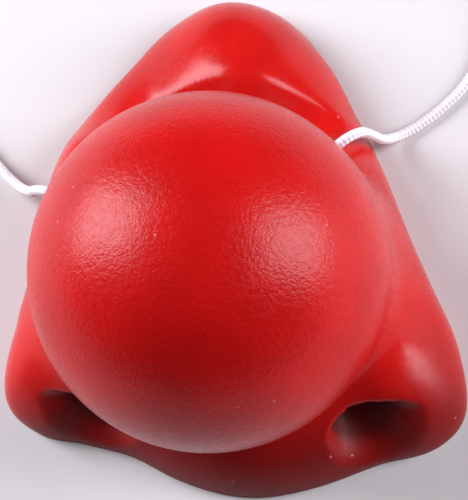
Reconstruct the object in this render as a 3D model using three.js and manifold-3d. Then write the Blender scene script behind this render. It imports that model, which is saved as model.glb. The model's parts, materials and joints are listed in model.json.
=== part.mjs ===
// A clown nose: one red latex shell that fits over the wearer's own nose, and a white round elastic.
// It lies on the open rim that meets the face. Millimetres, +Z from the face out through the ball,
// +Y up the bridge, +X across the wings. The origin is the middle of the rim's plane.
import * as THREE from "three";
import { mergeVertices } from "three/addons/utils/BufferGeometryUtils.js";
import Module from "manifold-3d";

const wasm = await Module();
wasm.setup();

// The shell
const NOSE_HEIGHT = 53;
const RIM_WIDTH = 72;
const RIM_LENGTH = 80;
const WALL = 2;
const BODY_HEIGHT = 24;

// The ball, beside the middle of the rim
const BALL_DIAMETER = 52;
const BALL_X = 0.4;
const BALL_Y = -11.9;

// The groove between the ball and the bridge, which runs round the ball. From above its width reaches
// from the ball to the bridge's crest, and it slopes down from there over the slope's length.
const GROOVE_WIDTH = 8.3;
const GROOVE_SLOPE = 8;
const GROOVE_DEPTH = 5;
const CREST_ROUNDING = 0.8;

// The middle of the arched bridge
const BRIDGE_X = 5.2;

// The creases where the ball meets the bridge, the cheeks and the lip
const BRIDGE_FILLET = 1.5;
const CHEEK_FILLET = 15;
const LIP_FILLET = 4;

// The nostrils, blind dents on both sides of the ball
const NOSTRIL_SPACING = 43.5;
const NOSTRIL_WIDTH = 15.5;
const NOSTRIL_DEPTH = 8;
const NOSTRIL_HEIGHT = 8;
const NOSTRIL_ARCH = 3.5;
const NOSTRIL_BELOW = 6.2;

// The elastic and its stopper knots
const ELASTIC_DIAMETER = 1.6;
const HOLE_CLEARANCE = 0.3;
const KNOT_DIAMETER = 4.4;

// Where the outline's reaches are measured from
const OUTLINE_X = 1.6;
const OUTLINE_Y = -0.5;

// The point that every part of the skin faces: over the ball's lowest point, a little to the bridge's side
const HEART_LIFT = 5;
const HEART_SHIFT = 3.4;

// The body round the ball, from the bridge down to the lip. turn is in degrees from +X, right and left
// are shares of half the rim, height is a share of BODY_HEIGHT, and a fuller section is squarer.
const BODY = [
  { turn: 90, right: 1.015, left: 1.015, height: 0.7, fullness: 4.4 },
  { turn: 75, right: 0.97, left: 0.97, height: 0.7, fullness: 4.4 },
  { turn: 60, right: 0.86, left: 0.9, height: 0.71, fullness: 4.2 },
  { turn: 42, right: 0.745, left: 0.87, height: 0.75, fullness: 3.8 },
  { turn: 20, right: 0.705, left: 0.87, height: 0.85, fullness: 3.2 },
  { turn: 0, right: 0.745, left: 0.88, height: 0.93, fullness: 2.9 },
  { turn: -15, right: 0.86, left: 1.01, height: 0.88, fullness: 2.3 },
  { turn: -28, right: 1.05, left: 1.168, height: 0.84, fullness: 2.0 },
  { turn: -38, right: 1.18, left: 1.12, height: 0.82, fullness: 2.1 },
  { turn: -46, right: 1.17, left: 1.02, height: 0.77, fullness: 2.6 },
  { turn: -58, right: 1.055, left: 0.94, height: 0.68, fullness: 3.0 },
  { turn: -72, right: 1.01, left: 0.95, height: 0.64, fullness: 3.0 },
  { turn: -90, right: 0.987, left: 0.987, height: 0.64, fullness: 3.0 },
];

// The bridge's arch: how much lower it gets towards its sides, at half the rim's width from its middle
const BRIDGE_ARCH = 3.76;

// How far from the bridge, in degrees, each feature of the body begins and ends
const ARCH_FADES = [25, 60];
const GROOVE_FADES = [40, 75];
const CREASE_FADES = [55, 88];
const LIP_BEGINS = [120, 150];

// The shares of the body's height between which the groove lets go of the ball
const GROOVE_ENDS = [0.58, 1];

// The share of a nostril that is at its full depth, below its middle and above it
const NOSTRIL_FLOOR = 0.15;
const NOSTRIL_ROOF = 0.7;

// The two holes for the elastic: turn and lift of the place, seen from the heart, and of the bore, and
// how deep the stopper knot sits behind the hole
const HOLES = {
  right: { turn: 47.24, lift: 21.17, boreTurn: 30.64, boreLift: 27.01, knotDepth: 6.8 },
  left: { turn: 150.29, lift: 17.38, boreTurn: 159.91, boreLift: 5.06, knotDepth: 8.3 },
};

// The elastic's centre line from the right hole round to the left one, in millimetres
const ELASTIC_ROUTE = [
  [15.26, 7.76, 12.24], [17.1, 8.85, 13.33], [18.94, 9.94, 14.42], [20.35, 10.77, 14.81],
  [21.66, 11.55, 14.47], [22.72, 12.18, 13.52], [23.4, 12.6, 12.2], [24.5, 13.2, 8.6],
  [25.5, 13.8, 5.2], [26.8, 14.6, 2.8], [28.7, 15.7, 1.3], [31.2, 17.1, 0.82],
  [35.2, 19.8, 0.82], [39, 23.4, 0.82], [41.9, 28.2, 0.82], [43.8, 34.5, 0.82],
  [44.9, 43, 0.82], [44.8, 53, 0.82], [43.1, 64, 0.82], [38.2, 75.5, 0.82],
  [29.5, 84, 0.82], [19.5, 87.3, 0.82], [9.5, 84.5, 0.82], [1, 78, 0.82],
  [-7, 71.5, 0.82], [-16, 67.8, 0.82], [-26, 67.3, 0.82], [-35, 66, 0.82],
  [-41.7, 60, 0.82], [-45.3, 50, 0.82], [-45.3, 38.5, 0.82], [-42.2, 26.5, 0.82],
  [-37.2, 17.5, 1.3], [-32.8, 12, 3.4], [-29.9, 9.3, 7.4], [-28.3, 8.1, 11.3],
  [-26.6, 7.1, 13.9], [-24.4, 6.1, 14.9], [-21.5, 5.03, 14.78], [-18, 3.75, 14.45],
];

// How finely the skins and the round pieces are divided
const OUTER_DIVISIONS = 19;
const INNER_DIVISIONS = 14;
const HOLE_SIDES = 12;
const ELASTIC_SIDES = 8;
const ELASTIC_STEP = 2.2 * ELASTIC_DIAMETER;

const ballRadius = BALL_DIAMETER / 2;
const ballCentre = new THREE.Vector3(BALL_X, BALL_Y, NOSE_HEIGHT - ballRadius);
const heartHeight = NOSE_HEIGHT - BALL_DIAMETER + HEART_LIFT;
const heart = new THREE.Vector3(OUTLINE_X, BALL_Y + HEART_SHIFT, heartHeight);
const holeRadius = ELASTIC_DIAMETER / 2 + HOLE_CLEARANCE;
const { lerp, clamp, smoothstep, degToRad, radToDeg } = THREE.MathUtils;

// The larger of two lengths, with a fillet where they are alike
function smoothMax(a, b, fillet) {
  const share = clamp(0.5 + (0.5 * (a - b)) / fillet, 0, 1);
  return lerp(b, a, share) + fillet * share * (1 - share);
}

// The table's rows all the way round, from the lip up the right side and down the left
function stationsAllRound() {
  const right = BODY.map(({ right: reach, ...row }) => ({ ...row, reach })).reverse();
  const between = BODY.slice(1, -1);
  const left = between.map(({ left: reach, turn, ...row }) => ({ ...row, turn: 180 - turn, reach }));
  return [...right, ...left];
}

// A closed smooth curve through one column of the rows
function columnCurve(rows, column) {
  const count = rows.length;
  const turnAt = (i) => rows[((i % count) + count) % count].turn + 360 * Math.floor(i / count);
  const valueAt = (i) => rows[((i % count) + count) % count][column];
  const slopeAt = (i) => (valueAt(i + 1) - valueAt(i - 1)) / (turnAt(i + 1) - turnAt(i - 1));
  return (turn) => {
    const t = THREE.MathUtils.euclideanModulo(turn - turnAt(0), 360) + turnAt(0);
    let i = 0;
    while (turnAt(i + 1) <= t) i += 1;
    const span = turnAt(i + 1) - turnAt(i);
    const u = (t - turnAt(i)) / span;
    const rise = u * u * (3 - 2 * u);
    return (
      lerp(valueAt(i), valueAt(i + 1), rise) +
      u * (1 - u) * (1 - u) * span * slopeAt(i) -
      u * u * (1 - u) * span * slopeAt(i + 1)
    );
  };
}

const stations = stationsAllRound();
const reachAt = columnCurve(stations, "reach");
const heightAt = columnCurve(stations, "height");
const fullnessAt = columnCurve(stations, "fullness");

// How far round the rim a point lies from the bridge, in degrees
function turnFromBridge(point) {
  const x = (point.x - OUTLINE_X) / RIM_WIDTH;
  const y = (point.y - OUTLINE_Y) / RIM_LENGTH;
  return Math.abs(radToDeg(Math.atan2(x, y)));
}

// Below zero inside the body without its ball, which a skin within it lies an inset below
function bodyValue(point, inset) {
  const x = (point.x - OUTLINE_X) / (RIM_WIDTH / 2 - inset);
  const y = (point.y - OUTLINE_Y) / (RIM_LENGTH / 2 - inset);
  const turn = radToDeg(Math.atan2(y, x));
  const archShare = 1 - smoothstep(turnFromBridge(point), ...ARCH_FADES);
  const fromMiddle = (point.x - BRIDGE_X) / (RIM_WIDTH / 2);
  const lowering = 1 + BRIDGE_ARCH * archShare * fromMiddle ** 2;
  const height = (BODY_HEIGHT * heightAt(turn)) / lowering - inset;
  return (Math.hypot(x, y) / reachAt(turn)) ** fullnessAt(turn) + (point.z / height) ** 2 - 1;
}

// How far the body's skin lies from the heart in one direction, found by halving
function bodyRadius(direction, inset) {
  const point = new THREE.Vector3();
  let near = 0;
  let far = RIM_WIDTH + RIM_LENGTH;
  while (far - near > 1e-5) {
    const middle = (near + far) / 2;
    point.copy(heart).addScaledVector(direction, middle);
    if (bodyValue(point, inset) < 0) near = middle;
    else far = middle;
  }
  return near;
}

// How far the ball's skin lies from the heart in one direction
function sphereRadius(direction, inset) {
  const offset = heart.clone().sub(ballCentre);
  const along = direction.dot(offset);
  return -along + Math.sqrt(along ** 2 - offset.lengthSq() + (ballRadius - inset) ** 2);
}

// How far the groove lowers a point of the skin
function grooveDrop(point, inset) {
  const crest = ballRadius + GROOVE_WIDTH + inset / 2;
  const inside = crest - Math.hypot(point.x - BALL_X, point.y - BALL_Y);
  const down = Math.min((inside + Math.hypot(inside, CREST_ROUNDING)) / 2 / GROOVE_SLOPE, 1);
  const bridgeShare = 1 - smoothstep(turnFromBridge(point), ...GROOVE_FADES);
  const lowShare = 1 - smoothstep(point.z / BODY_HEIGHT, ...GROOVE_ENDS);
  return GROOVE_DEPTH * down * (2 - down) * bridgeShare * lowShare;
}

// How deep a nostril is at a point: a sharp arch above its middle and a soft slope below it
function nostrilDrop(point, inset) {
  const across = (Math.abs(point.x - BALL_X) - NOSTRIL_SPACING / 2) / (NOSTRIL_WIDTH / 2 + inset);
  const above = point.z - NOSTRIL_HEIGHT;
  const up = above / ((above > 0 ? NOSTRIL_ARCH : NOSTRIL_BELOW) + inset);
  const roofShare = smoothstep(above + inset, -NOSTRIL_ARCH / 2, NOSTRIL_ARCH / 2);
  const core = lerp(NOSTRIL_FLOOR, NOSTRIL_ROOF, roofShare);
  const underside = smoothstep(heart.y - point.y, -NOSTRIL_ARCH, NOSTRIL_ARCH * 1.5);
  const depth = NOSTRIL_DEPTH + inset / 4;
  return depth * underside * (1 - smoothstep(Math.hypot(across, up), core, 1));
}

// The point of a skin in one direction from the heart, with the skin an inset below the outer one
function skinPoint(direction, inset) {
  const onBody = heart.clone().addScaledVector(direction, bodyRadius(direction, 0));
  const turn = turnFromBridge(onBody);
  const creaseShare = 1 - smoothstep(turn, ...CREASE_FADES);
  const lipShare = smoothstep(turn, ...LIP_BEGINS);
  const fillet = lerp(lerp(CHEEK_FILLET, BRIDGE_FILLET, creaseShare), LIP_FILLET, lipShare);
  const radius = (depth) => smoothMax(bodyRadius(direction, depth), sphereRadius(direction, depth), fillet);
  const outside = heart.clone().addScaledVector(direction, radius(0));
  const point = heart.clone().addScaledVector(direction, radius(inset) - nostrilDrop(outside, inset));
  point.z -= grooveDrop(point, inset);
  return point;
}

// The closed skin an inset below the outer one, reaching on below the rim
function skinGeometry(divisions, inset) {
  const geometry = new THREE.IcosahedronGeometry(1, divisions);
  geometry.deleteAttribute("normal");
  geometry.deleteAttribute("uv");
  const merged = mergeVertices(geometry);
  const position = merged.getAttribute("position");
  const direction = new THREE.Vector3();
  for (let i = 0; i < position.count; i += 1) {
    direction.fromBufferAttribute(position, i).normalize();
    const point = skinPoint(direction, inset);
    position.setXYZ(i, point.x, point.y, point.z);
  }
  return merged;
}

// The direction at a turn about the nose's axis and a lift above the rim's plane, in degrees
function directionOf(turn, lift) {
  const flat = Math.cos(degToRad(lift));
  return new THREE.Vector3(
    flat * Math.cos(degToRad(turn)),
    flat * Math.sin(degToRad(turn)),
    Math.sin(degToRad(lift)),
  );
}

// A hole's mouth on the outer skin and the direction that its bore leaves in
function holeFrame({ turn, lift, boreTurn, boreLift }) {
  return {
    mouth: skinPoint(directionOf(turn, lift), 0),
    bore: directionOf(boreTurn, boreLift),
  };
}

function toSolid(geometry) {
  const bare = geometry.index ? geometry.clone() : geometry.toNonIndexed();
  bare.deleteAttribute("normal");
  bare.deleteAttribute("uv");
  const merged = mergeVertices(bare);
  return new wasm.Manifold(
    new wasm.Mesh({
      numProp: 3,
      vertProperties: Float32Array.from(merged.getAttribute("position").array),
      triVerts: Uint32Array.from(merged.index.array),
    }),
  );
}

function toGeometry(solid) {
  const { vertProperties, triVerts } = solid.getMesh();
  const geometry = new THREE.BufferGeometry();
  geometry.setAttribute("position", new THREE.BufferAttribute(Float32Array.from(vertProperties), 3));
  geometry.setIndex(new THREE.BufferAttribute(Uint32Array.from(triVerts), 1));
  const flat = geometry.toNonIndexed();
  flat.computeVertexNormals();
  return flat;
}

function namedMesh(name, geometry, colour, roughness) {
  const mesh = new THREE.Mesh(
    geometry,
    new THREE.MeshStandardMaterial({ color: colour, roughness, metalness: 0 }),
  );
  mesh.name = name;
  return mesh;
}

// The bore of one hole, long enough to pass the wall on both sides
function boreGeometry(hole) {
  const { mouth, bore } = holeFrame(hole);
  const geometry = new THREE.CylinderGeometry(holeRadius, holeRadius, 8 * WALL, HOLE_SIDES);
  const turn = new THREE.Quaternion().setFromUnitVectors(new THREE.Vector3(0, 1, 0), bore);
  geometry.applyQuaternion(turn);
  return geometry.translate(mouth.x, mouth.y, mouth.z);
}

// The latex shell, trimmed flat where it meets the face
function makeShell() {
  const reach = 2 * (RIM_WIDTH + RIM_LENGTH);
  const belowRim = new THREE.BoxGeometry(reach, reach, reach).translate(0, 0, -reach / 2);
  let shell = toSolid(skinGeometry(OUTER_DIVISIONS, 0));
  shell = shell.subtract(toSolid(skinGeometry(INNER_DIVISIONS, WALL)));
  shell = shell.subtract(toSolid(belowRim));
  for (const hole of Object.values(HOLES)) shell = shell.subtract(toSolid(boreGeometry(hole)));
  return namedMesh("nose_shell", toGeometry(shell), 0xb80f0c, 0.42);
}

// A stopper knot inside the shell, in line with its hole
function makeKnot(name, hole) {
  const { mouth, bore } = holeFrame(hole);
  const centre = mouth.addScaledVector(bore, -hole.knotDepth);
  const geometry = new THREE.IcosahedronGeometry(KNOT_DIAMETER / 2, 2).translate(...centre);
  return namedMesh(name, geometry, 0xe9e6ee, 0.8);
}

// The elastic as a plain round tube along its route
function makeElastic() {
  const points = ELASTIC_ROUTE.map(([x, y, z]) => new THREE.Vector3(x, y, z));
  const centreLine = new THREE.CatmullRomCurve3(points, false, "centripetal");
  const section = new THREE.Shape();
  for (let i = 0; i < ELASTIC_SIDES; i += 1) {
    const angle = (2 * Math.PI * (i + 0.5)) / ELASTIC_SIDES;
    const [x, y] = [Math.cos(angle), Math.sin(angle)].map((share) => (share * ELASTIC_DIAMETER) / 2);
    if (i === 0) section.moveTo(x, y);
    else section.lineTo(x, y);
  }
  section.closePath();
  const steps = Math.round(centreLine.getLength() / ELASTIC_STEP);
  const geometry = new THREE.ExtrudeGeometry(section, { steps, extrudePath: centreLine });
  return namedMesh("elastic_cord", geometry, 0xe9e6ee, 0.8);
}

const nose = new THREE.Group();
nose.add(makeShell());
nose.add(makeKnot("knot_right", HOLES.right));
nose.add(makeKnot("knot_left", HOLES.left));
nose.add(makeElastic());

export default nose;
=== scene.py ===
# %% [markdown]
# # A clown nose in red latex
#
# The real thing is one thin shell of red latex, cast in a mould. A round ball sits over a softer
# body with a bridge, two wings and two dented nostrils, and a thin white elastic goes round the
# head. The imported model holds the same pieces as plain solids. Here the shell is made again from
# the same sizes with a smooth skin, its knots and elastic are made as real ones look, and
# everything gets its finish, its light and its camera.

import json
import math

import bmesh
import bpy
import numpy as np
from mathutils import Matrix, Vector

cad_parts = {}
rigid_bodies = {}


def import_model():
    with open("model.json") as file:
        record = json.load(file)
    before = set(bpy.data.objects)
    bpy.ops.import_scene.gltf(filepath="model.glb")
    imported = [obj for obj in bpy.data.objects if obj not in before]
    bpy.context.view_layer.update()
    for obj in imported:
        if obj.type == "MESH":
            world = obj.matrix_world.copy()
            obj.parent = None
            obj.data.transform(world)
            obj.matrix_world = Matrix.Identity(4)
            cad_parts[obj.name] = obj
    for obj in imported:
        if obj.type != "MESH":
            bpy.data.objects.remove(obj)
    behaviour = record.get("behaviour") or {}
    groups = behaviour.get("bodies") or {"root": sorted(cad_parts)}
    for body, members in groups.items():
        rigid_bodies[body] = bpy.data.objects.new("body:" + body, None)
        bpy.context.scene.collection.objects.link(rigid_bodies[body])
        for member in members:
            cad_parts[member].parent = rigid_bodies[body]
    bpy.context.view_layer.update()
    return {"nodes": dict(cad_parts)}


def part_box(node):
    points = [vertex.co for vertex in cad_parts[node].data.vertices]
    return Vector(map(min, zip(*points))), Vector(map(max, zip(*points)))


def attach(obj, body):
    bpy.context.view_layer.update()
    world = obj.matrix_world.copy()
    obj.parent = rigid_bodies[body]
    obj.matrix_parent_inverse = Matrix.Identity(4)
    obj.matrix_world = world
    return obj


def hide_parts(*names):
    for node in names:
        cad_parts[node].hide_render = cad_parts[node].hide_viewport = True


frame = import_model()
scene = bpy.context.scene
print("nodes in the packed model:", sorted(frame["nodes"]))

# %% [markdown]
# ## The camera
#
# The photograph looks down on the nose from the lip's side, a little from its right, with the
# nose lying on its open rim. A camera could be turned by hand until it fits. Here its turn, its
# lean, its roll and its distance are numbers, so the view can be worked out again from them, and
# the lens follows from how many millimetres one pixel of the photograph shows at the nose.

# %% Camera
PHOTO_WIDTH = 468
PHOTO_HEIGHT = 500
CAMERA_TURN = 7.0
CAMERA_LEAN = 17.0
CAMERA_ROLL = -2.5
CAMERA_DISTANCE = 0.34
FILM_WIDTH = 36
NEAREST_SEEN = 0.01
PIXEL_SIZE = 0.000152
AIM = Vector((0.0022, -0.0037, 0.010))


def camera_frame():
    """The camera's right, up and backward directions."""
    turn, lean, roll = (math.radians(a) for a in (CAMERA_TURN, CAMERA_LEAN, CAMERA_ROLL))
    back = Vector((
        math.sin(turn) * math.cos(lean),
        -math.sin(lean),
        math.cos(turn) * math.cos(lean),
    ))
    right = Vector((0, 1, 0)).cross(back).normalized()
    up = back.cross(right)
    rolled_right = right * math.cos(roll) + up * math.sin(roll)
    rolled_up = up * math.cos(roll) - right * math.sin(roll)
    return rolled_right, rolled_up, back


def add_camera():
    right, up, back = camera_frame()
    data = bpy.data.cameras.new("camera")
    data.sensor_width = FILM_WIDTH
    seen = max(PHOTO_WIDTH, PHOTO_HEIGHT) * PIXEL_SIZE
    data.lens = FILM_WIDTH * CAMERA_DISTANCE / seen
    data.clip_start = NEAREST_SEEN
    camera = bpy.data.objects.new("camera", data)
    facing = Matrix((right, up, back)).transposed().to_4x4()
    camera.matrix_world = Matrix.Translation(AIM + back * CAMERA_DISTANCE) @ facing
    scene.collection.objects.link(camera)
    return camera


scene.camera = add_camera()
print("lens", round(scene.camera.data.lens, 1), "mm at", CAMERA_DISTANCE, "m")

# %% [markdown]
# ## The elastic
#
# A nose like this is held on by about a quarter of a metre of thin round elastic, which goes
# round the head and is knotted inside the shell at both ends. Loose, it drops out of its holes
# and lies on the table in a slack loop. It could be simulated, but a loop that lies flat is
# easier to keep when its points are listed one by one. A smooth curve runs through them, and the
# curve's bevel gives the thickness.

# %% Elastic
ELASTIC_DIAMETER = 0.0016
ELASTIC_SAMPLES = 560
STEPS_PER_SAMPLE = 20
ELASTIC_ROUTE = [
    (0.01526, 0.00776, 0.01224), (0.0171, 0.00885, 0.01333), (0.01894, 0.00994, 0.01442),
    (0.02035, 0.01077, 0.01481), (0.02166, 0.01155, 0.01447), (0.02272, 0.01218, 0.01352),
    (0.0234, 0.0126, 0.0122), (0.0245, 0.0132, 0.0086), (0.0255, 0.0138, 0.0052),
    (0.0268, 0.0146, 0.0028), (0.0287, 0.0157, 0.0013), (0.0312, 0.0171, 0.00082),
    (0.0352, 0.0198, 0.00082), (0.039, 0.0234, 0.00082), (0.0419, 0.0282, 0.00082),
    (0.0438, 0.0345, 0.00082), (0.0449, 0.043, 0.00082), (0.0448, 0.053, 0.00082),
    (0.0431, 0.064, 0.00082), (0.0382, 0.0755, 0.00082), (0.0295, 0.084, 0.00082),
    (0.0195, 0.0873, 0.00082), (0.0095, 0.0845, 0.00082), (0.001, 0.078, 0.00082),
    (-0.007, 0.0715, 0.00082), (-0.016, 0.0678, 0.00082), (-0.026, 0.0673, 0.00082),
    (-0.035, 0.066, 0.00082), (-0.0417, 0.06, 0.00082), (-0.0453, 0.05, 0.00082),
    (-0.0453, 0.0385, 0.00082), (-0.0422, 0.0265, 0.00082), (-0.0372, 0.0175, 0.0013),
    (-0.0328, 0.012, 0.0034), (-0.0299, 0.0093, 0.0074), (-0.0283, 0.0081, 0.0113),
    (-0.0266, 0.0071, 0.0139), (-0.0244, 0.0061, 0.0149), (-0.0215, 0.00503, 0.01478),
    (-0.018, 0.00375, 0.01445),
]


def smooth_route(points, samples):
    """Evenly spaced points on a smooth curve through the given points, and its length.

    Each stretch is a cubic whose ends bend by how near the next points are, so that close points
    make no loops."""
    knots = np.array(points)
    ends = np.vstack([2 * knots[0] - knots[1], knots, 2 * knots[-1] - knots[-2]])
    place = np.linspace(0, len(knots) - 1, STEPS_PER_SAMPLE * samples)
    start = np.minimum(place.astype(int), len(knots) - 2)
    share = (place - start)[:, None]
    before, here, there, after = (ends[start + i] for i in range(4))
    gap_before, gap, gap_after = (
        np.sqrt(np.linalg.norm(b - a, axis=1))[:, None]
        for a, b in ((before, here), (here, there), (there, after))
    )
    bend_here = (here - before) / gap_before - (there - before) / (gap_before + gap)
    bend_there = (after - there) / gap_after - (after - here) / (gap + gap_after)
    pull_here = bend_here * gap + (there - here)
    pull_there = bend_there * gap + (there - here)
    square, cube = share**2, share**3
    fine = (2 * cube - 3 * square + 1) * here + (3 * square - 2 * cube) * there
    fine = fine + (cube - 2 * square + share) * pull_here + (cube - square) * pull_there
    steps = np.linalg.norm(np.diff(fine, axis=0), axis=1)
    run = np.concatenate([[0], np.cumsum(steps)])
    even = np.linspace(0, run[-1], samples)
    return np.stack([np.interp(even, run, fine[:, axis]) for axis in range(3)], axis=1), run[-1]


def round_cord(name, points, diameter, closed=False):
    """A curve object with a round section through the points."""
    curve = bpy.data.curves.new(name, "CURVE")
    curve.dimensions = "3D"
    curve.bevel_depth = diameter / 2
    curve.bevel_resolution = 3
    curve.use_fill_caps = True
    spline = curve.splines.new("POLY")
    spline.points.add(len(points) - 1)
    spline.points.foreach_set("co", np.column_stack([points, np.ones(len(points))]).ravel())
    spline.use_cyclic_u = closed
    spline.use_smooth = True
    cord = bpy.data.objects.new(name, curve)
    scene.collection.objects.link(cord)
    return cord


elastic_points, elastic_length = smooth_route(ELASTIC_ROUTE, ELASTIC_SAMPLES)
elastic = round_cord("elastic", elastic_points, ELASTIC_DIAMETER)
print("elastic", round(elastic_length * 1000, 1), "mm long")

# %% [markdown]
# ## The knots
#
# Inside the shell a plain overhand knot stops each end of the elastic at its hole. It could be
# tied point by point. An overhand knot is a trefoil, though, and a trefoil has a short formula,
# so the knot is one closed turn of it, pulled tight until the cord touches itself.

# %% Knots
KNOT_REACH = 0.00205
KNOT_TURN_SAMPLES = 96
KNOT_DEPTH = 1.4
PULLED_THIN = 0.9


def overhand_knot(name, node):
    """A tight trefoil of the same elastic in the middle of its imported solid."""
    low, high = (np.array(corner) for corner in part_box(node))
    t = np.linspace(0, 2 * math.pi, KNOT_TURN_SAMPLES, endpoint=False)
    trefoil = np.stack([
        np.sin(t) + 2 * np.sin(2 * t),
        np.cos(t) - 2 * np.cos(2 * t),
        -KNOT_DEPTH * np.sin(3 * t),
    ], axis=1)
    reach = np.linalg.norm(trefoil, axis=1).max()
    points = trefoil * (KNOT_REACH - ELASTIC_DIAMETER / 2) / reach + (low + high) / 2
    return round_cord(name, points, ELASTIC_DIAMETER * PULLED_THIN, closed=True)


knots = {node: overhand_knot("tied_" + node, node) for node in ("knot_right", "knot_left")}
print("knots", list(knots))

# %% [markdown]
# ## The shape of the skin
#
# Latex is poured into a mould, so the nose is one flowing skin with no seams. It could be
# sculpted, but then no number in it could be changed. Seen from a point deep inside, the heart,
# each direction meets the skin just once, so the whole form is one distance for each direction.
# That distance is the larger of two simple ones, to the ball and to the body below it, blended
# where they are alike. A groove round the ball is let down into the bridge, and a dent is
# pressed in on both sides for the nostrils.

# %% Driving sizes
NOSE_HEIGHT = 0.053
RIM_WIDTH = 0.072
RIM_LENGTH = 0.080
WALL = 0.002
BODY_HEIGHT = 0.024
BALL_RADIUS = 0.026
BALL_CENTRE = np.array((0.0004, -0.0119, NOSE_HEIGHT - BALL_RADIUS))
OUTLINE_CENTRE = np.array((0.0016, -0.0005, 0))
HEART = np.array((0.0016, -0.0085, 0.006))

# turn from +X in degrees, reach right and left as shares of half the rim, height as a share of
# BODY_HEIGHT, and fullness, where a higher number gives a squarer section
BODY = [
    (90, 1.015, 1.015, 0.70, 4.4),
    (75, 0.97, 0.97, 0.70, 4.4),
    (60, 0.86, 0.90, 0.71, 4.2),
    (42, 0.745, 0.87, 0.75, 3.8),
    (20, 0.705, 0.87, 0.85, 3.2),
    (0, 0.745, 0.88, 0.93, 2.9),
    (-15, 0.86, 1.01, 0.88, 2.3),
    (-28, 1.05, 1.168, 0.84, 2.0),
    (-38, 1.18, 1.12, 0.82, 2.1),
    (-46, 1.17, 1.02, 0.77, 2.6),
    (-58, 1.055, 0.94, 0.68, 3.0),
    (-72, 1.01, 0.95, 0.64, 3.0),
    (-90, 0.987, 0.987, 0.64, 3.0),
]
print("body described at", 2 * len(BODY) - 2, "turns round the rim")

# %% Smooth helpers


def smoothstep(value, low, high):
    share = np.clip((value - low) / (high - low), 0, 1)
    return share * share * (3 - 2 * share)


def smooth_max(a, b, fillet):
    """The larger of two lengths with a fillet where they are alike, and the first one's share."""
    share = np.clip(0.5 + 0.5 * (a - b) / fillet, 0, 1)
    return b + (a - b) * share + fillet * share * (1 - share), share


def stations_all_round():
    right = [(turn, reach, height, full) for turn, reach, _, height, full in BODY]
    left = [(180 - turn, reach, height, full) for turn, _, reach, height, full in BODY[1:-1]]
    return np.array(sorted(right + left))


def around(turn, column):
    """A smooth closed curve through one column of the stations, read at each turn in degrees."""
    stations = stations_all_round()
    turns, values = stations[:, 0], stations[:, column]
    turns = np.concatenate([turns[-2:] - 360, turns, turns[:3] + 360])
    values = np.concatenate([values[-2:], values, values[:3]])
    slopes = np.gradient(values, turns, edge_order=1)
    slopes[1:-1] = (values[2:] - values[:-2]) / (turns[2:] - turns[:-2])
    turn = (turn + 90) % 360 - 90
    i = np.searchsorted(turns, turn, side="right") - 1
    span = turns[i + 1] - turns[i]
    u = (turn - turns[i]) / span
    rise = u * u * (3 - 2 * u)
    blend = values[i] + (values[i + 1] - values[i]) * rise
    return blend + u * (1 - u) ** 2 * span * slopes[i] - u * u * (1 - u) * span * slopes[i + 1]


print("body height over the wings:", np.round(around(np.array([0.0, 180.0]), 2), 2))

# %% Distances to the body and the ball
BRIDGE_X = 0.0052
BRIDGE_ARCH = 3.76
# how far round the rim from the bridge the arch fades, in degrees
ARCH_FADE = (25, 60)
# the form goes on this far below the table, where it is cut off
SKIRT = 0.014
HALVINGS = 30


def turn_from_bridge(points):
    """How far round the rim the points lie from the bridge, in degrees."""
    plan = (points - OUTLINE_CENTRE) / (RIM_WIDTH, RIM_LENGTH, 1)
    return np.abs(np.degrees(np.arctan2(plan[:, 0], plan[:, 1])))


def body_value(points, inset):
    """Below zero inside the body, which a skin inside it lies an inset below."""
    x = (points[:, 0] - OUTLINE_CENTRE[0]) / (RIM_WIDTH / 2 - inset)
    y = (points[:, 1] - OUTLINE_CENTRE[1]) / (RIM_LENGTH / 2 - inset)
    turn = np.degrees(np.arctan2(y, x))
    arch_share = 1 - smoothstep(turn_from_bridge(points), *ARCH_FADE)
    from_ridge = (points[:, 0] - BRIDGE_X) / (RIM_WIDTH / 2)
    lowering = 1 + BRIDGE_ARCH * arch_share * from_ridge**2
    top = BODY_HEIGHT * around(turn, 2) / lowering - inset
    height = np.where(points[:, 2] >= 0, top, SKIRT)
    return (np.hypot(x, y) / around(turn, 1)) ** around(turn, 3) + (points[:, 2] / height) ** 2 - 1


def body_distance(directions, inset):
    """How far the body's skin lies from the heart, found by halving."""
    near = np.zeros(len(directions))
    far = np.full(len(directions), RIM_WIDTH + RIM_LENGTH)
    for _ in range(HALVINGS):
        middle = (near + far) / 2
        inside = body_value(HEART + middle[:, None] * directions, inset) < 0
        near, far = np.where(inside, middle, near), np.where(inside, far, middle)
    return near


def ball_distance(directions, inset):
    offset = HEART - BALL_CENTRE
    along = directions @ offset
    return -along + np.sqrt(along**2 - offset @ offset + (BALL_RADIUS - inset) ** 2)


straight_up = np.array([(0.0, 0.0, 1.0)])
heights = body_distance(straight_up, 0)[0], ball_distance(straight_up, 0)[0]
print("straight up from the heart, body and ball end at", np.round(heights, 4), "m")

# %% [markdown]
# ## The groove and the nostrils
#
# The mould has a groove round the ball where it meets the bridge, and under each wing it is
# pressed in for a nostril. Both could be cut with other shapes, which would leave sharp edges.
# Here each is a soft drop of the skin: the groove goes straight down, and the nostrils go in
# towards the heart. The drops fade out where the ball begins, so that the ball stays round.

# %% Groove
GROOVE_WIDTH = 0.0083
GROOVE_SLOPE = 0.008
GROOVE_DEPTH = 0.005
CREST_ROUNDING = 0.0008
GROOVE_FADE = (40, 75)
GROOVE_TOP_FADE = (0.58, 1)


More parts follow.
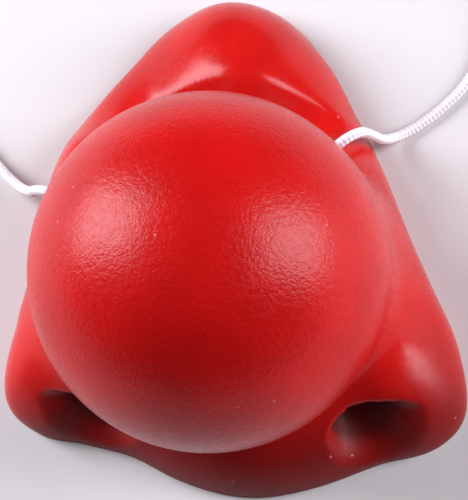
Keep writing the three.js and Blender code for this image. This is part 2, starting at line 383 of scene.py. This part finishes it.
def groove_drop(points, inset):
    """How far the groove lowers each point of the skin."""
    crest = BALL_RADIUS + GROOVE_WIDTH + inset / 2
    from_axis = np.hypot(points[:, 0] - BALL_CENTRE[0], points[:, 1] - BALL_CENTRE[1])
    inside = crest - from_axis
    down = np.minimum((inside + np.hypot(inside, CREST_ROUNDING)) / 2 / GROOVE_SLOPE, 1)
    bridge_share = 1 - smoothstep(turn_from_bridge(points), *GROOVE_FADE)
    low_share = 1 - smoothstep(points[:, 2] / BODY_HEIGHT, *GROOVE_TOP_FADE)
    return GROOVE_DEPTH * down * (2 - down) * bridge_share * low_share


beside_the_ball = np.array([(BALL_CENTRE[0], BALL_CENTRE[1] + BALL_RADIUS, 0.0)])
print("groove beside the ball", np.round(groove_drop(beside_the_ball, 0.0)[0], 4), "m deep")

# %% Nostrils
NOSTRIL_SPACING = 0.0435
NOSTRIL_WIDTH = 0.0155
NOSTRIL_DEPTH = 0.0080
NOSTRIL_HEIGHT = 0.0080
NOSTRIL_ARCH = 0.0035
NOSTRIL_BELOW = 0.0062
# the share of a nostril that lies at its full depth, below its middle and at its roof
NOSTRIL_FLOOR = 0.15
NOSTRIL_ROOF = 0.50


def nostril_drop(points, inset):
    """How deep the nostrils are: a short arch above their middle and a long slope below it."""
    from_middle = np.abs(points[:, 0] - BALL_CENTRE[0]) - NOSTRIL_SPACING / 2
    across = from_middle / (NOSTRIL_WIDTH / 2 + inset)
    above = points[:, 2] - NOSTRIL_HEIGHT
    up = above / (np.where(above > 0, NOSTRIL_ARCH, NOSTRIL_BELOW) + inset)
    roof_share = smoothstep(above + inset, -NOSTRIL_ARCH / 2, NOSTRIL_ARCH / 2)
    core = NOSTRIL_FLOOR + (NOSTRIL_ROOF - NOSTRIL_FLOOR) * roof_share
    underside = smoothstep(HEART[1] - points[:, 1], -NOSTRIL_ARCH, NOSTRIL_ARCH * 1.5)
    depth = NOSTRIL_DEPTH + inset / 4
    return depth * underside * (1 - smoothstep(np.hypot(across, up), core, 1))


nostril_x = BALL_CENTRE[0] + NOSTRIL_SPACING / 2
nostril_middle = np.array([(nostril_x, -RIM_LENGTH / 2, NOSTRIL_HEIGHT)])
print("nostril", np.round(nostril_drop(nostril_middle, 0.0)[0], 4), "m deep in its middle")

# %% The whole skin
BRIDGE_FILLET = 0.0015
CHEEK_FILLET = 0.015
LIP_FILLET = 0.004
CREASE_FADE = (55, 88)
LIP_FADE = (120, 150)
# the share of body over which the nostrils set in, outside the ball
NOSTRIL_ONSET = (0.1, 0.7)
# where the painted shade of the nostrils and of the lip sets in, and how deep the lip's gets
NOSTRIL_SHADE = (0.02, 0.5)
LIP_SHADE_TURN = (112, 132)
LIP_SHADE_TOP = (0.25, 0.62)
LIP_SHADE = 0.7


def fillet_round(turn):
    """The fillet between ball and body at each turn from the bridge."""
    crease_share = 1 - smoothstep(turn, *CREASE_FADE)
    lip_share = smoothstep(turn, *LIP_FADE)
    to_bridge = (BRIDGE_FILLET - CHEEK_FILLET) * crease_share
    to_lip = (LIP_FILLET - CHEEK_FILLET) * lip_share
    return CHEEK_FILLET + to_bridge + to_lip


def skin(directions, inset=0.0):
    """Points of the skin an inset below the outer one, with two shares of each for the finish.

    The first share is how much of it is body and not ball, the second how much painted shade it
    carries, a darker red that stands for the shade in the nostrils and under the lip."""
    to_body, to_ball = body_distance(directions, 0), ball_distance(directions, 0)
    turn = turn_from_bridge(HEART + to_body[:, None] * directions)
    fillet = fillet_round(turn)
    outside, body_share = smooth_max(to_body, to_ball, fillet)
    to_body, to_ball = body_distance(directions, inset), ball_distance(directions, inset)
    distance, _ = smooth_max(to_body, to_ball, fillet)
    drop = nostril_drop(HEART + outside[:, None] * directions, inset)
    drop = drop * smoothstep(body_share, *NOSTRIL_ONSET)
    points = HEART + (distance - drop)[:, None] * directions
    points[:, 2] -= groove_drop(points, inset)
    # painted shade: the nostrils and the band under the lip get a share that darkens their red
    under_lip = 1 - smoothstep(points[:, 2] / BODY_HEIGHT, *LIP_SHADE_TOP)
    under_lip = smoothstep(turn, *LIP_SHADE_TURN) * under_lip
    in_nostril = smoothstep(drop / NOSTRIL_DEPTH, *NOSTRIL_SHADE)
    painted_shade_share = np.maximum(in_nostril, LIP_SHADE * under_lip * body_share)
    return points, body_share, painted_shade_share


print("top of the ball at", np.round(skin(straight_up)[0][0], 4))

# %% [markdown]
# ## The shell
#
# The outer skin starts as a finely divided icosphere, which has no poles, and each of its
# vertices moves out along its own direction to the skin. The inner skin is a coarser one, moved
# out to the same form one wall further in and turned to face the hollow. Both are cut flat at
# the table, and one ring of faces joins them along the rim, so the shell is closed like the real
# one.

# %% Shell
OUTER_DIVISIONS = 7
INNER_DIVISIONS = 6


def skin_mesh(divisions, inset):
    """A bmesh of the skin above the table, with its shares stored on its vertices."""
    mesh = bmesh.new()
    bmesh.ops.create_icosphere(mesh, subdivisions=divisions, radius=1)
    directions = np.array([vertex.co.normalized() for vertex in mesh.verts])
    points, body_shares, painted_shade_shares = skin(directions, inset)
    body_layer = mesh.verts.layers.float.new("body_share")
    painted_shade_layer = mesh.verts.layers.float.new("painted_shade_share")
    for vertex, point, body, painted_shade in zip(mesh.verts, points, body_shares, painted_shade_shares):
        vertex.co = point
        vertex[body_layer] = body
        vertex[painted_shade_layer] = painted_shade
    if inset:
        bmesh.ops.reverse_faces(mesh, faces=mesh.faces)
    everything = mesh.verts[:] + mesh.edges[:] + mesh.faces[:]
    bmesh.ops.bisect_plane(
        mesh, geom=everything, plane_co=(0, 0, 0), plane_no=(0, 0, 1), clear_inner=True
    )
    return mesh


def joined_shell():
    outer = skin_mesh(OUTER_DIVISIONS, 0.0)
    inner = skin_mesh(INNER_DIVISIONS, WALL)
    carried = bpy.data.meshes.new("inner_skin")
    inner.to_mesh(carried)
    outer.from_mesh(carried)
    inner.free()
    bpy.data.meshes.remove(carried)
    rims = [edge for edge in outer.edges if edge.is_boundary]
    bmesh.ops.bridge_loops(outer, edges=rims)
    return outer


def object_from(mesh, name):
    data = bpy.data.meshes.new(name)
    mesh.to_mesh(data)
    mesh.free()
    data.shade_smooth()
    made = bpy.data.objects.new(name, data)
    scene.collection.objects.link(made)
    return made


shell = object_from(joined_shell(), "latex_shell")
print("shell", len(shell.data.polygons), "faces")

# %% [markdown]
# ## The holes for the elastic
#
# On the real nose each end of the elastic is threaded through a small punched hole in the valley
# between the ball and the bridge. The hole could be painted dark, but the elastic has to pass
# through it, so a thin rod is cut out of the wall along the elastic's own first straight stretch.

# %% Holes
HOLE_CLEARANCE = 0.0003
PUNCH_LENGTH = 0.008
PUNCH_SIDES = 24


def punch(name, inner_end, outer_end):
    """Cut a hole along the line between two points of the elastic, centred on the second one."""
    inner_end, outer_end = Vector(inner_end), Vector(outer_end)
    along = (outer_end - inner_end).normalized()
    place = Matrix.Translation(outer_end) @ along.to_track_quat("Z", "Y").to_matrix().to_4x4()
    rod = bmesh.new()
    radius = ELASTIC_DIAMETER / 2 + HOLE_CLEARANCE
    bmesh.ops.create_cone(
        rod,
        cap_ends=True,
        segments=PUNCH_SIDES,
        radius1=radius,
        radius2=radius,
        depth=PUNCH_LENGTH,
        matrix=place,
    )
    cutter = object_from(rod, name)
    cut = shell.modifiers.new(name, "BOOLEAN")
    cut.operation = "DIFFERENCE"
    cut.solver = "EXACT"
    cut.object = cutter
    return cutter


def apply_modifiers(piece):
    """Bake a piece's modifiers into its mesh."""
    evaluated = piece.evaluated_get(bpy.context.evaluated_depsgraph_get())
    baked = bpy.data.meshes.new_from_object(evaluated)
    piece.modifiers.clear()
    old = piece.data
    piece.data = baked
    bpy.data.meshes.remove(old)


cutters = [
    punch("right_punch", ELASTIC_ROUTE[0], ELASTIC_ROUTE[2]),
    punch("left_punch", ELASTIC_ROUTE[-1], ELASTIC_ROUTE[-2]),
]
apply_modifiers(shell)
for cutter in cutters:
    bpy.data.meshes.remove(cutter.data)
shell.data.name = "latex_shell"
print("shell with its holes", len(shell.data.polygons), "faces")

# %% [markdown]
# ## Materials
#
# Each finish is a small tree of nodes. A helper adds a node with its settings, and others put
# noise, sums, ranges and mixed colours on top, so that the trees below read from the pattern to
# the surface.

# %% Material helpers


def new_material(name):
    material = bpy.data.materials.new(name)
    material.use_nodes = True
    return material, material.node_tree, material.node_tree.nodes["Principled BSDF"]


def add_node(tree, kind, **values):
    """A new node, with its settings by attribute name and its inputs by socket name."""
    node = tree.nodes.new(kind)
    for key, value in values.items():
        if key in node.inputs:
            node.inputs[key].default_value = value
        else:
            setattr(node, key, value)
    return node


def noise(tree, coordinates, scale, detail=2.0, roughness=0.5):
    node = add_node(tree, "ShaderNodeTexNoise", Scale=scale, Detail=detail, Roughness=roughness)
    tree.links.new(coordinates, node.inputs["Vector"])
    return node.outputs["Fac"]


def math_node(tree, operation, first, second):
    node = add_node(tree, "ShaderNodeMath", operation=operation)
    for socket, value in zip(node.inputs, (first, second)):
        if isinstance(value, (int, float)):
            socket.default_value = value
        else:
            tree.links.new(value, socket)
    return node.outputs[0]


def remap(tree, value, low, high, to_low, to_high):
    node = add_node(tree, "ShaderNodeMapRange", interpolation_type="SMOOTHSTEP")
    names = ("From Min", "From Max", "To Min", "To Max")
    for name, number in zip(names, (low, high, to_low, to_high)):
        node.inputs[name].default_value = number
    tree.links.new(value, node.inputs["Value"])
    return node.outputs["Result"]


def mix_colours(tree, share, first, second):
    node = add_node(tree, "ShaderNodeMix", data_type="RGBA")
    tree.links.new(share, node.inputs["Factor"])
    for name, value in (("A", first), ("B", second)):
        socket = next(s for s in node.inputs if s.name == name and s.type == "RGBA")
        if isinstance(value, tuple):
            socket.default_value = (*value, 1)
        else:
            tree.links.new(value, socket)
    return next(s for s in node.outputs if s.type == "RGBA")


print("materials before the finishes:", len(bpy.data.materials))

# %% [markdown]
# ## Red latex
#
# The ball has a fine leathery grain like orange peel, which breaks its highlights into specks,
# and the bridge and the wings are smoother and glossier. The red varies a little, as pigment does
# in poured latex, and a few pale flecks sit in it. In the nostrils and under the lip the red is
# painted deep as painted shade, and made duller there. A painted map could hold all this. The two
# shares that the shell's vertices carry tell ball from body and where the painted shade lies just
# as well, and noise at three scales gives the blotches, the peel and the grain.

# %% Colour of the latex
BALL_RED = (0.50, 0.0045, 0.0040)
BODY_RED = (0.52, 0.0080, 0.0065)
DEEP_RED = (0.30, 0.002, 0.002)
# painted shade: the deep red of the nostrils and of the band under the lip
PAINTED_SHADE_RED = (0.085, 0.0010, 0.0010)
FLECK_PINK = (0.72, 0.25, 0.22)
BLOTCH_SCALE = 90
BLOTCH_DETAIL = 3.0
BLOTCH_RANGE = (0.35, 0.7)
BLOTCH_STRENGTH = 0.35
FLECK_SCALE = 220
FLECK_EDGE = (0.025, 0.055)
FLECK_STRENGTH = 0.6


def latex_colour(tree, position, body, painted_shade):
    """The reds of ball and body, with blotches, painted shade in the recesses and pale flecks."""
    red = mix_colours(tree, body, BALL_RED, BODY_RED)
    clouds = noise(tree, position, BLOTCH_SCALE, BLOTCH_DETAIL)
    blotches = remap(tree, clouds, *BLOTCH_RANGE, 0.0, BLOTCH_STRENGTH)
    red = mix_colours(tree, blotches, red, DEEP_RED)
    # painted shade: the nostrils and the band under the lip go towards a deep red
    red = mix_colours(tree, painted_shade, red, PAINTED_SHADE_RED)
    cells = add_node(tree, "ShaderNodeTexVoronoi", Scale=FLECK_SCALE)
    tree.links.new(position, cells.inputs["Vector"])
    flecks = remap(tree, cells.outputs["Distance"], *FLECK_EDGE, FLECK_STRENGTH, 0.0)
    return mix_colours(tree, flecks, red, FLECK_PINK)


print("latex reds, from light to deep:", BODY_RED[0], BALL_RED[0], DEEP_RED[0], PAINTED_SHADE_RED[0])

# %% Surface of the latex
GRAIN_SCALE = 3000
PEEL_SCALE = 1350
GRAIN_SHARE = 0.6
BUMP_HEIGHT = 0.0002
BALL_BUMP = 0.36
BODY_BUMP = 0.03
# the share of body over which the ball's bump and the ball's roughness give way to the body's
BUMP_FADE = (0.02, 0.4)
ROUGHNESS_FADE = (0.02, 0.5)
BALL_ROUGHNESS = 0.27
BODY_ROUGHNESS = 0.20
PEEL_RANGE = (0.3, 0.7)
PEEL_ROUGHNESS = 0.08
RECESS_ROUGHNESS = 0.35
LATEX_IOR = 1.31


def red_latex():
    material, tree, surface = new_material("red_latex")
    position = add_node(tree, "ShaderNodeTexCoord").outputs["Object"]
    body = add_node(tree, "ShaderNodeAttribute", attribute_name="body_share").outputs["Fac"]
    painted_shade = add_node(tree, "ShaderNodeAttribute", attribute_name="painted_shade_share").outputs["Fac"]
    tree.links.new(latex_colour(tree, position, body, painted_shade), surface.inputs["Base Color"])
    grain = noise(tree, position, GRAIN_SCALE, 1.0)
    peel = noise(tree, position, PEEL_SCALE, 2.0)
    height = math_node(tree, "ADD", math_node(tree, "MULTIPLY", grain, GRAIN_SHARE), peel)
    strength = remap(tree, body, *BUMP_FADE, BALL_BUMP, BODY_BUMP)
    bump = add_node(tree, "ShaderNodeBump", Distance=BUMP_HEIGHT)
    tree.links.new(height, bump.inputs["Height"])
    tree.links.new(strength, bump.inputs["Strength"])
    tree.links.new(bump.outputs["Normal"], surface.inputs["Normal"])
    rough = remap(tree, body, *ROUGHNESS_FADE, BALL_ROUGHNESS, BODY_ROUGHNESS)
    peeled = remap(tree, peel, *PEEL_RANGE, 0.0, PEEL_ROUGHNESS)
    dulled = math_node(tree, "MULTIPLY", painted_shade, RECESS_ROUGHNESS)
    rough = math_node(tree, "ADD", math_node(tree, "ADD", rough, peeled), dulled)
    tree.links.new(rough, surface.inputs["Roughness"])
    surface.inputs["IOR"].default_value = LATEX_IOR
    return material


shell.data.materials.clear()
shell.data.materials.append(red_latex())
print("material on the shell:", shell.data.materials[0].name)

# %% [markdown]
# ## White elastic
#
# Round elastic has a rubber core in a sleeve of braided white thread. The braid could be modelled
# strand by strand, but at a millimetre and a half thick it shows only as a fine slanting rib. The
# curve's own coordinates run along and around it, so two slanting waves over them make the braid.
# Where the waves dip, the white is painted grey as painted shade between the ribs.

# %% White elastic
PAINTED_BRAID_SHADE = (0.62, 0.60, 0.66)
THREAD_WHITE = (0.86, 0.84, 0.88)
BRAID_TURNS = 3
BRAID_LENGTHS = 190
KNOT_BRAID_LENGTHS = 12
BRAID_HEIGHT = 0.00015
BRAID_BUMP = 0.5
THREAD_ROUGHNESS = 0.75
THREAD_SHEEN = 0.3


def white_elastic(lengths):
    material, tree, surface = new_material("white_elastic")
    along_and_around = add_node(tree, "ShaderNodeTexCoord").outputs["UV"]
    split = add_node(tree, "ShaderNodeSeparateXYZ")
    tree.links.new(along_and_around, split.inputs[0])
    along = math_node(tree, "MULTIPLY", split.outputs["X"], lengths * 2 * math.pi)
    around_it = math_node(tree, "MULTIPLY", split.outputs["Y"], BRAID_TURNS * 2 * math.pi)
    one_way = math_node(tree, "SINE", math_node(tree, "ADD", along, around_it), 0)
    other_way = math_node(tree, "SINE", math_node(tree, "SUBTRACT", along, around_it), 0)
    braid = math_node(tree, "MULTIPLY", one_way, other_way)
    raised = remap(tree, braid, -1, 1, 0, 1)
    # painted shade: the low threads of the braid are greyed
    white = mix_colours(tree, raised, PAINTED_BRAID_SHADE, THREAD_WHITE)
    tree.links.new(white, surface.inputs["Base Color"])
    bump = add_node(tree, "ShaderNodeBump", Strength=BRAID_BUMP, Distance=BRAID_HEIGHT)
    tree.links.new(braid, bump.inputs["Height"])
    tree.links.new(bump.outputs["Normal"], surface.inputs["Normal"])
    surface.inputs["Roughness"].default_value = THREAD_ROUGHNESS
    surface.inputs["Sheen Weight"].default_value = THREAD_SHEEN
    return material


elastic.data.materials.append(white_elastic(BRAID_LENGTHS))
knot_finish = white_elastic(KNOT_BRAID_LENGTHS)
knot_finish.name = "white_elastic_knot"
for knot in knots.values():
    knot.data.materials.append(knot_finish)
print("braid repeats", BRAID_LENGTHS, "times along the elastic")

# %% [markdown]
# ## Which piece rides on what
#
# The nose has no moving parts, so every piece rides on the one body. The new shell stands for the
# packed one, the knots for their round solids, and the elastic for its plain tube.

# %% Frame
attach(shell, "root")
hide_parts("nose_shell")
for node, knot in knots.items():
    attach(knot, "root")
    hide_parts(node)
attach(elastic, "root")
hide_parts("elastic_cord")
print("pieces on the root body:", 2 + len(knots))

# %% [markdown]
# ## The table and the light
#
# The photograph was taken on white, under two large soft lights, one on each side of the camera.
# Their reflections are the two pale patches on the ball. A light could be moved about until its
# patch fits. Here each one is placed by the direction that the ball faces where its patch is: a
# mirror there would show the light, so the light stands in the mirrored direction.

# %% Table and light
TABLE_SIZE = 3.0
TABLE_WHITE = (0.62, 0.62, 0.62)
TABLE_ROUGHNESS = 0.7
ROOM_LIGHT = 0.04
LIGHT_DISTANCE = 0.6
LIGHT_COLOUR = (0.95, 0.93, 1.0)
SOFTBOXES = [
    # name, where its patch faces in the camera's right, up and back, width, height, power
    ("left_softbox", (-0.53, 0.27, 0.80), 0.36, 0.46, 6.7),
    ("right_softbox", (0.46, 0.16, 0.87), 0.36, 0.46, 5.5),
]


def add_table():
    table = bmesh.new()
    bmesh.ops.create_grid(table, x_segments=1, y_segments=1, size=TABLE_SIZE / 2)
    floor = object_from(table, "table")
    material, _, surface = new_material("table_white")
    surface.inputs["Base Color"].default_value = (*TABLE_WHITE, 1)
    surface.inputs["Roughness"].default_value = TABLE_ROUGHNESS
    floor.data.materials.append(material)
    return floor


def add_softbox(name, facing, width, height, power):
    right, up, back = camera_frame()
    normal = (right * facing[0] + up * facing[1] + back * facing[2]).normalized()
    towards = (normal * 2 * normal.dot(back) - back).normalized()
    data = bpy.data.lights.new(name, "AREA")
    data.shape = "RECTANGLE"
    data.size, data.size_y = width, height
    data.energy = power
    data.color = LIGHT_COLOUR
    light = bpy.data.objects.new(name, data)
    light.location = Vector(BALL_CENTRE) + towards * LIGHT_DISTANCE
    light.rotation_euler = (-towards).to_track_quat("-Z", "Y").to_euler()
    scene.collection.objects.link(light)
    return light


add_table()
softboxes = [add_softbox(*row) for row in SOFTBOXES]
world = bpy.data.worlds.new("studio")
world.use_nodes = True
background = world.node_tree.nodes["Background"]
background.inputs["Color"].default_value = (1, 1, 1, 1)
background.inputs["Strength"].default_value = ROOM_LIGHT
scene.world = world
scene.view_settings.view_transform = "Standard"
print("lights", [light.name for light in softboxes])
